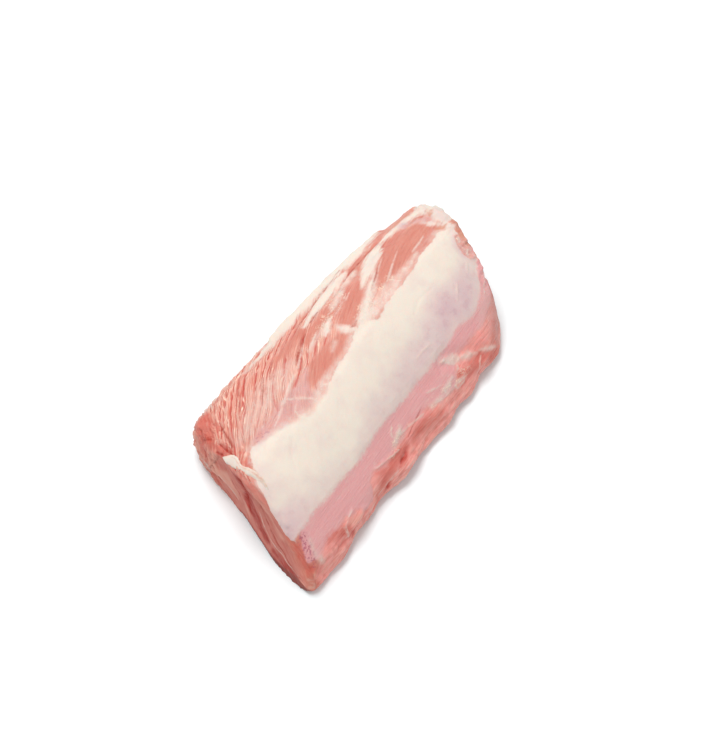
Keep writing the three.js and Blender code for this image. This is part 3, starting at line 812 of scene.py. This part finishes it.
def lay_over(add, under, rows):
    """Lays tints over a colour, and gives the new colour and the share of the last tint.

    A row has a value, two limits of it, the shares at those limits, factors of the share, and the tint.
    """
    for value, low, high, least, most, factors, tint in rows:
        limits = {0: value, 1: low, 2: high, 3: least, 4: most}
        share = add("MapRange", limits, interpolation_type="SMOOTHSTEP")
        for factor in factors:
            share = add("Math", {0: share, 1: factor}, operation="MULTIPLY")
        under = add("Mix", {0: share, 6: under, 7: tint}, 2, data_type="RGBA")
    return under, share


def raw_veal(sizes, colours):
    """Raw veal, knife-trimmed and moist.

    It shows fibrous salmon muscle with pale strands, bluish silverskin that lets the muscle show through
    and matt cream fat, all under a thin film of juice that gives a soft gloss. Its colour also holds painted
    highlights on the strands and crests, and painted shade in the hollows, gaps, slits and creases.
    """
    material = bpy.data.materials.new(MATERIAL)
    material.use_nodes = True
    tree = material.node_tree
    shader = tree.nodes["Principled BSDF"]
    add = partial(add_node, tree)
    others = ("fat", "strip", "feathered", "silverskin", "flank", "craggy", "crest", "streak", "cut")
    number = {name: add("Attribute", {}, "Fac", attribute_name=name) for name in (*SOFT_LAYERS, *others)}
    grain = add("Attribute", {}, "Vector", attribute_name="grain")
    cords = add("Attribute", {}, "Vector", attribute_name="cords")
    place = add("TexCoord", {}, "Object")
    soft = {"interpolation_type": "SMOOTHSTEP"}
    blend = {"data_type": "RGBA"}
    multiply = {"operation": "MULTIPLY"}
    multiply_add = {"operation": "MULTIPLY_ADD"}

    # Noises stretched along the fibres: their cells are as long and as wide as what they draw, in
    # millimetres. Real fibres are too fine to show, so these are drawn coarser.
    fibre, streak, strand = sizes.fibre / MM, sizes.streak / MM, sizes.strand / MM
    cells = {
        "fibres": (streak, fibre), "bundles": (4 * streak, 2.5 * strand), "beads": (0.5 * streak, strand),
        "breaks": (1.6 * streak, 3 * strand), "wisps": (2 * streak, 3 * fibre),
    }
    drawn = {}
    for seed, (name, (long, wide)) in enumerate(cells.items()):
        scale = (1 / long, 1 / wide, 1 / wide)
        cell = add("VectorMath", {0: grain, 1: scale, 2: [9.7 * seed] * 3}, **multiply_add)
        settings = {"Vector": cell, "Scale": 1, "Detail": 3, "Roughness": 0.5, "Distortion": 0.4}
        drawn[name] = add("TexNoise", settings)
    mottle = add("TexNoise", {"Vector": place, "Scale": 1 / (11 * MM), "Detail": 3})
    blotch = add("TexNoise", {"Vector": place, "Scale": 1 / (5 * MM), "Detail": 3, "Roughness": 0.6})
    grit = add("TexNoise", {"Vector": place, "Scale": 1 / (1.6 * MM), "Detail": 3})
    pleats = add("TexNoise", {"Vector": place, "Scale": 1 / sizes.fold, "Detail": 2, "Distortion": 0.8})
    curls = add("TexNoise", {"Vector": place, "Scale": 1 / (3.6 * MM), "Detail": 1, "Distortion": 1.6})
    ragged = add("Math", {0: grit, 1: 1.6, 2: -0.8}, **multiply_add)
    breaks = add("MapRange", {0: drawn["breaks"], 1: 0.36, 2: 0.54}, **soft)

    # Thin wavy lines run where a noise crosses its middle value. This is how far off that value it is.
    off = {}
    for name, value in (("wisps", drawn["wisps"]), ("pleats", pleats), ("curls", curls)):
        apart = add("Math", {0: value, 1: 0.5}, operation="SUBTRACT")
        off[name] = add("Math", {0: apart}, operation="ABSOLUTE")

    # Strands and bundles lie side by side, so they are waves across the fibres.
    waves = {}
    for name, axis in (("strands", "X"), ("bundles", "Y")):
        phase = add("SeparateXYZ", {0: cords}, axis)
        phase = add("Math", {0: phase, 1: 2 * math.pi}, **multiply)
        waves[name] = add("Math", {0: phase}, operation="SINE")
    crag = add("SeparateXYZ", {0: cords}, "Z")

    # Muscle: paler and darker fibres on salmon, clear where it is smooth, browner on the cuts. Places have
    # their tints; those of the hollows and foot of the cuts and the far end of the flank, of the pit and
    # gaps, and of the near cut's foot are painted shade. Waves have tints too, which follow the relief:
    # painted shade in the clefts of ragged muscle, in the valleys between strands and in the seams between
    # bundles, and painted highlight on the crests of ragged muscle, on the bundles and on the crowns of
    # strands.
    open_fibres = add("Math", {0: number["cut"], 1: 0.25, 2: number["streak"]}, **multiply_add)
    open_skin = add("MapRange", {0: number["cut"], 3: 1, 4: 0.3})
    beads = add("MapRange", {0: drawn["beads"], 1: 0.36, 2: 0.6, 3: 0.15, 4: 1}, **soft)
    bright = add("MapRange", {0: drawn["bundles"], 1: 0.38, 2: 0.6, 3: 0.35, 4: 1}, **soft)
    crest_highlight = add("Mix", {0: number["warm"], 6: colours.muscle_pale, 7: colours.glint}, 2, **blend)
    streaked = number["streak"]
    places = (
        ("flank", 0.85, colours.flank_muscle), ("clear", 0.75, colours.muscle_clear),
        ("cut", 0.95, colours.cut_muscle), ("warm", 0.85, colours.muscle_warm),
        ("red", 0.8, colours.muscle_red), ("pale", 0.6, colours.muscle_pale),
        # Painted shade: the hollows and foot of the cuts and the far end of the flank, the pit and gaps, and
        # the near cut's foot.
        ("deep", 1.0, colours.muscle_deep), ("wet", 0.95, colours.slit), ("foot_shade", 0.9, colours.dried),
    )
    muscle, crown = lay_over(add, colours.muscle, [
        (drawn["bundles"], 0.35, 0.7, 0, 0.55, (), colours.muscle_pale),
        (mottle, 0.52, 0.68, 0, 0.35, (), colours.muscle_pale),
        (mottle, 0.48, 0.34, 0, 0.2, (), colours.muscle_red),
        *((blotch, 0.35, 0.65, 0.75 * share, share, (number[name],), tint) for name, share, tint in places),
        (drawn["fibres"], 0.42, 0.66, 0, 0.4, (open_fibres,), colours.film),
        (drawn["fibres"], 0.47, 0.32, 0, 0.22, (open_skin,), colours.muscle_deep),
        # Painted shade in the clefts and painted highlight on the crests of ragged muscle, which follow its
        # relief.
        (crag, -0.05, -0.5, 0, 0.75, (number["craggy"],), colours.muscle_red),
        (crag, 0.1, 0.6, 0, 0.75, (number["crest"],), crest_highlight),
        # Painted light on the bundles, painted shade in the valleys between strands and the seams between
        # bundles, and painted highlight on the crowns of strands.
        (waves["bundles"], -0.2, 0.9, 0, 0.55, (streaked,), colours.muscle_pale),
        (waves["strands"], -0.3, -0.95, 0, 0.4, (streaked, bright), colours.muscle_deep),
        (waves["bundles"], -0.7, -0.98, 0, 0.8, (streaked,), colours.slit),
        (waves["strands"], 0.1, 0.85, 0, 1, (streaked, bright, beads, breaks), colours.glint),
    ])

    # Silverskin, with wisps of film on it and on the torn flank below.
    edge = add("Math", {0: number["silverskin"], 1: ragged}, operation="ADD")
    layer, covered = lay_over(add, muscle, [(edge, -1.4, 2.2, 0.12, 0.92, (), colours.silverskin)])
    wispy = add("Math", {0: number["flank"], 1: 0.65, 2: covered}, **multiply_add)
    layer, _ = lay_over(add, layer, [(off["wisps"], 0, 0.035, 0.22, 0, (wispy, breaks), colours.film)])

    # Film, uneven and pleated, warm where it is thick and bluish where it is thin. Curled bits and stains.
    sheer = add("MapRange", {0: blotch, 1: 0.3, 2: 0.68, 3: 0.5, 4: 0.92}, **soft)
    pleated = add("MapRange", {0: off["pleats"], 1: 0, 2: 0.022, 3: 0.35, 4: 0}, **soft)
    sheer = add("Math", {0: pleated, 1: sheer}, operation="ADD", use_clamp=True)
    filmed = add("Math", {0: number["film"], 1: sheer}, **multiply)
    film = add("Mix", {0: number["cool"], 6: colours.film, 7: colours.film_cool}, 2, **blend)
    layer = add("Mix", {0: filmed, 6: layer, 7: film}, 2, **blend)
    bits = add("MapRange", {0: off["curls"], 1: 0, 2: 0.065, 3: 1, 4: 0}, **soft)
    bits = (bits, number["curl"])
    layer, curled = lay_over(add, layer, [(blotch, 0.42, 0.58, 0, 0.8, bits, colours.glint)])
    layer, _ = lay_over(add, layer, [(grit, 0.47, 0.62, 0.08, 0.65, (number["stain"],), colours.stain)])

    # Fat: cream where it is thick, lilac where the muscle shows through, with a combed edge on the strips.
    patchy = add("Math", {0: mottle, 1: 0.8, 2: -0.37}, **multiply_add)
    cooler = add("Math", {0: number["cool"], 1: patchy}, operation="ADD", use_clamp=True)
    cream = add("Mix", {0: cooler, 6: colours.fat, 7: colours.fat_thin}, 2, **blend)
    cream, _ = lay_over(add, cream, [
        (blotch, 0.5, 0.66, 0, 0.13, (cooler,), colours.stain),
        (number["fat"], 2.6, 0, 0, 0.4, (), colours.film),
    ])
    rim = add("Math", {0: ragged, 1: 0.9, 2: number["fat"]}, **multiply_add)
    combed = add("Math", {0: drawn["fibres"], 1: drawn["bundles"]}, operation="ADD")
    combed = add("Math", {0: combed, 1: 3.2, 2: -3.0}, **multiply_add)
    rim = add("Math", {0: combed, 1: number["strip"], 2: rim}, **multiply_add)
    fade = add("Math", {0: number["feathered"], 1: 3.0, 2: 0.6}, **multiply_add)
    fade = add("Math", {0: number["strip"], 1: 0.9, 2: fade}, **multiply_add)
    below = add("Math", {0: fade, 1: -1.0}, **multiply)
    layer, fat = lay_over(add, layer, [(rim, below, fade, 0, 1, (), cream)])

    # Slits, dried edges and threads, drawn from the distance across them. The dark of the slits and creases
    # and the tan of the flap's crease are partly painted shade.
    patches = add("MapRange", {0: blotch, 1: 0.36, 2: 0.56, 3: 0.25, 4: 1}, **soft)
    for name, share, tint in (
        ("dark_line", 0.7, colours.muscle_deep), ("tan_line", 0.75, colours.tan),
        ("pale_line", 0.75, colours.film),
    ):
        line = add("Attribute", {}, "Vector", attribute_name=name)
        across = add("SeparateXYZ", {0: line}, "X")
        half = add("SeparateXYZ", {0: line}, "Y")
        across = add("Math", {0: ragged, 1: 0.6, 2: across}, **multiply_add)
        across = add("Math", {0: across}, operation="ABSOLUTE")
        depth = add("Math", {0: half, 1: across}, operation="SUBTRACT")
        layer, _ = lay_over(add, layer, [(depth, -0.9, 0.6, 0, share, (patches,), tint)])
    tree.links.new(layer, shader.inputs["Base Color"])

    # Juice lies unevenly, so the gloss does too. Fat is duller than muscle, and the dried cuts are matt.
    rough = add("MapRange", {0: blotch, 1: 0.35, 2: 0.65, 3: 0.25, 4: 0.42}, **soft)
    rough = add("Math", {0: fat, 1: 0.12, 2: rough}, **multiply_add)
    rough = add("Math", {0: number["cut"], 1: 0.45, 2: rough}, use_clamp=True, **multiply_add)
    tree.links.new(rough, shader.inputs["Roughness"])
    calm = add("MapRange", {0: fat, 3: 1, 4: 0.12})
    ridges = add("Math", {0: crown, 1: 0.6, 2: drawn["fibres"]}, **multiply_add)
    ridges = add("Math", {0: ridges, 1: calm}, **multiply)
    for value, share in ((grit, 0.3), (filmed, 0.5), (curled, 0.6)):
        ridges = add("Math", {0: value, 1: share, 2: ridges}, **multiply_add)
    bump = add("Bump", {"Height": ridges, "Strength": 0.7, "Distance": 0.6 * MM})
    tree.links.new(bump, shader.inputs["Normal"])
    shader.inputs["IOR"].default_value = 1.38
    shader.inputs["Specular IOR Level"].default_value = 0.03
    shader.inputs["Subsurface Weight"].default_value = 0.25
    shader.inputs["Subsurface Radius"].default_value = (1.0, 0.35, 0.25)
    shader.inputs["Subsurface Scale"].default_value = 1.6 * MM
    return material


def finished(mesh, context):
    """The piece for a mesh, in the veal's one material, on the block's body."""
    material = bpy.data.materials.get(MATERIAL)
    if material is None:
        material = raw_veal(context.scene.veal_sizes, context.scene.veal_colours)
    mesh.shade_smooth()
    mesh.update()
    mesh.materials.append(material)
    piece = bpy.data.objects.new(mesh.name, mesh)
    context.scene.collection.objects.link(piece)
    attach(piece, "root")
    return piece


class VEAL_OT_block(bpy.types.Operator):
    """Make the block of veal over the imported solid"""

    bl_idname = "veal.block"
    bl_label = "Block of veal"

    def execute(self, context):
        sizes = context.scene.veal_sizes
        form = bmesh.new()
        form.from_mesh(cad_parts["veal_ribeye"].data)
        bmesh.ops.remove_doubles(form, verts=form.verts, dist=0.01 * MM)
        solid = bpy.data.meshes.new("form")
        form.to_mesh(solid)
        form.free()
        mesh = skinned(solid, sizes.facet)
        mesh.name = "veal_block"
        skin = Skin(mesh)
        layers = layers_of(skin, sizes)
        # The skin stays inside the CAD box, and its foot stands flat on the table.
        moved = skin.points + skin.normals * relief(skin, layers, sizes)[:, None]
        low, high = (np.array(corner) / MM for corner in CAD_BOX)
        moved = np.clip(moved, low, high)
        moved[skin.points[:, 2] < FOOT, 2] = 0
        mesh.vertices.foreach_set("co", (moved * MM).ravel())
        store_layers(mesh, layers)
        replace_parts(finished(mesh, context), "veal_ribeye")
        return {"FINISHED"}


class VEAL_OT_flap(bpy.types.Operator):
    """Make the flap of fat that hangs over the near rim"""

    bl_idname = "veal.flap"
    bl_label = "Flap of fat"

    def execute(self, context):
        rows, creases = flap_points(FLAP, FLAP_LIE, FLAP_STEPS, FLAP_RING)
        form = bmesh.new()
        roof = CAD_BOX[1][2]
        rings = [[form.verts.new((p[0] * MM, p[1] * MM, min(p[2] * MM, roof))) for p in row] for row in rows]
        for a, b in zip(rings, rings[1:]):
            for k in range(FLAP_RING):
                n = (k + 1) % FLAP_RING
                form.faces.new((a[k], a[n], b[n], b[k]))
        form.faces.new(list(reversed(rings[0])))
        form.faces.new(rings[-1])
        bmesh.ops.recalc_face_normals(form, faces=form.faces)
        mesh = bpy.data.meshes.new("fat_flap")
        form.to_mesh(mesh)
        form.free()
        # The flap is all fat. A tan crease runs along the roll, which is the second half of it: partly dried
        # fat, partly painted shade in the crease.
        count = len(mesh.vertices)
        none = np.tile((LINE_REACH, -LINE_REACH, 0.0), (count, 1))
        share = np.repeat(np.linspace(0, 1, len(rows)), FLAP_RING)
        rolled = 0.5 * smooth(share, 0.46, 0.6) * smooth(-share, -0.97, -0.85)
        crease = np.stack([np.ravel(creases), rolled - 0.1, np.zeros(count)], 1)
        layers = {"fat": np.full(count, FLAP_FAT), "dark_line": none, "tan_line": crease, "pale_line": none}
        store_layers(mesh, layers)
        finished(mesh, context)
        return {"FINISHED"}


class VEAL_OT_stage(bpy.types.Operator):
    """Make the floor, the light and the camera"""

    bl_idname = "veal.stage"
    bl_label = "Stage"

    def execute(self, context):
        scene = context.scene
        scene.view_settings.view_transform = "Standard"
        world = bpy.data.worlds.new("studio")
        world.use_nodes = True
        sky = world.node_tree.nodes["Background"]
        sky.inputs["Color"].default_value = (*linear("#ffffff"), 1)
        sky.inputs["Strength"].default_value = SKY_STRENGTH
        scene.world = world

        corners = [(TABLE_HALF * a, TABLE_HALF * b, 0) for a, b in ((-1, -1), (1, -1), (1, 1), (-1, 1))]
        table = bpy.data.meshes.new("table")
        table.from_pydata(corners, [], [(0, 1, 2, 3)])
        floor = bpy.data.objects.new("table", table)
        scene.collection.objects.link(floor)
        # Matt white card: it throws light back evenly and shows no gloss.
        white = bpy.data.materials.new("white_card_matt")
        white.use_nodes = True
        card = white.node_tree.nodes["Principled BSDF"]
        card.inputs["Base Color"].default_value = (*scene.veal_colours.card, 1)
        card.inputs["Roughness"].default_value = 0.9
        card.inputs["Specular IOR Level"].default_value = 0.1
        table.materials.append(white)

        soft = bpy.data.lights.new("softbox", "AREA")
        soft.shape = "DISK"
        soft.size = LAMP_SIZE
        soft.energy = LAMP_POWER
        lamp = bpy.data.objects.new("softbox", soft)
        lamp.location = TARGET + LAMP_PLACE
        lamp.rotation_euler = (-LAMP_PLACE).to_track_quat("-Z", "Y").to_euler()
        scene.collection.objects.link(lamp)

        lens = bpy.data.cameras.new("camera")
        lens.sensor_width = SENSOR
        lens.lens = LENS
        lens.clip_end = CLIP_END
        camera = bpy.data.objects.new("camera", lens)
        back = Vector((
            math.sin(AZIMUTH) * math.cos(ELEVATION),
            -math.cos(AZIMUTH) * math.cos(ELEVATION),
            math.sin(ELEVATION),
        ))
        camera.location = TARGET + back * DISTANCE
        camera.rotation_euler = (-back).to_track_quat("-Z", "Y").to_euler()
        scene.collection.objects.link(camera)
        scene.camera = camera
        return {"FINISHED"}


class VEAL_PT_panel(bpy.types.Panel):
    """Lists the block's sizes, colours and makers"""

    bl_label = "Raw veal ribeye"
    bl_idname = "VEAL_PT_panel"
    bl_space_type = "VIEW_3D"
    bl_region_type = "UI"
    bl_category = "Veal"

    def draw(self, context):
        for group in (context.scene.veal_sizes, context.scene.veal_colours):
            for name in group.__annotations__:
                self.layout.prop(group, name)
        for maker in (VEAL_OT_block, VEAL_OT_flap, VEAL_OT_stage):
            self.layout.operator(maker.bl_idname)


CLASSES = (VealSizes, VealColours, VEAL_OT_block, VEAL_OT_flap, VEAL_OT_stage, VEAL_PT_panel)


def register():
    for each in CLASSES:
        bpy.utils.register_class(each)
    bpy.types.Scene.veal_sizes = PointerProperty(type=VealSizes)
    bpy.types.Scene.veal_colours = PointerProperty(type=VealColours)


def unregister():
    del bpy.types.Scene.veal_colours
    del bpy.types.Scene.veal_sizes
    for each in reversed(CLASSES):
        bpy.utils.unregister_class(each)


def main():
    register()
    bpy.ops.veal.block()
    bpy.ops.veal.flap()
    bpy.ops.veal.stage()


if __name__ == "__main__":
    main()
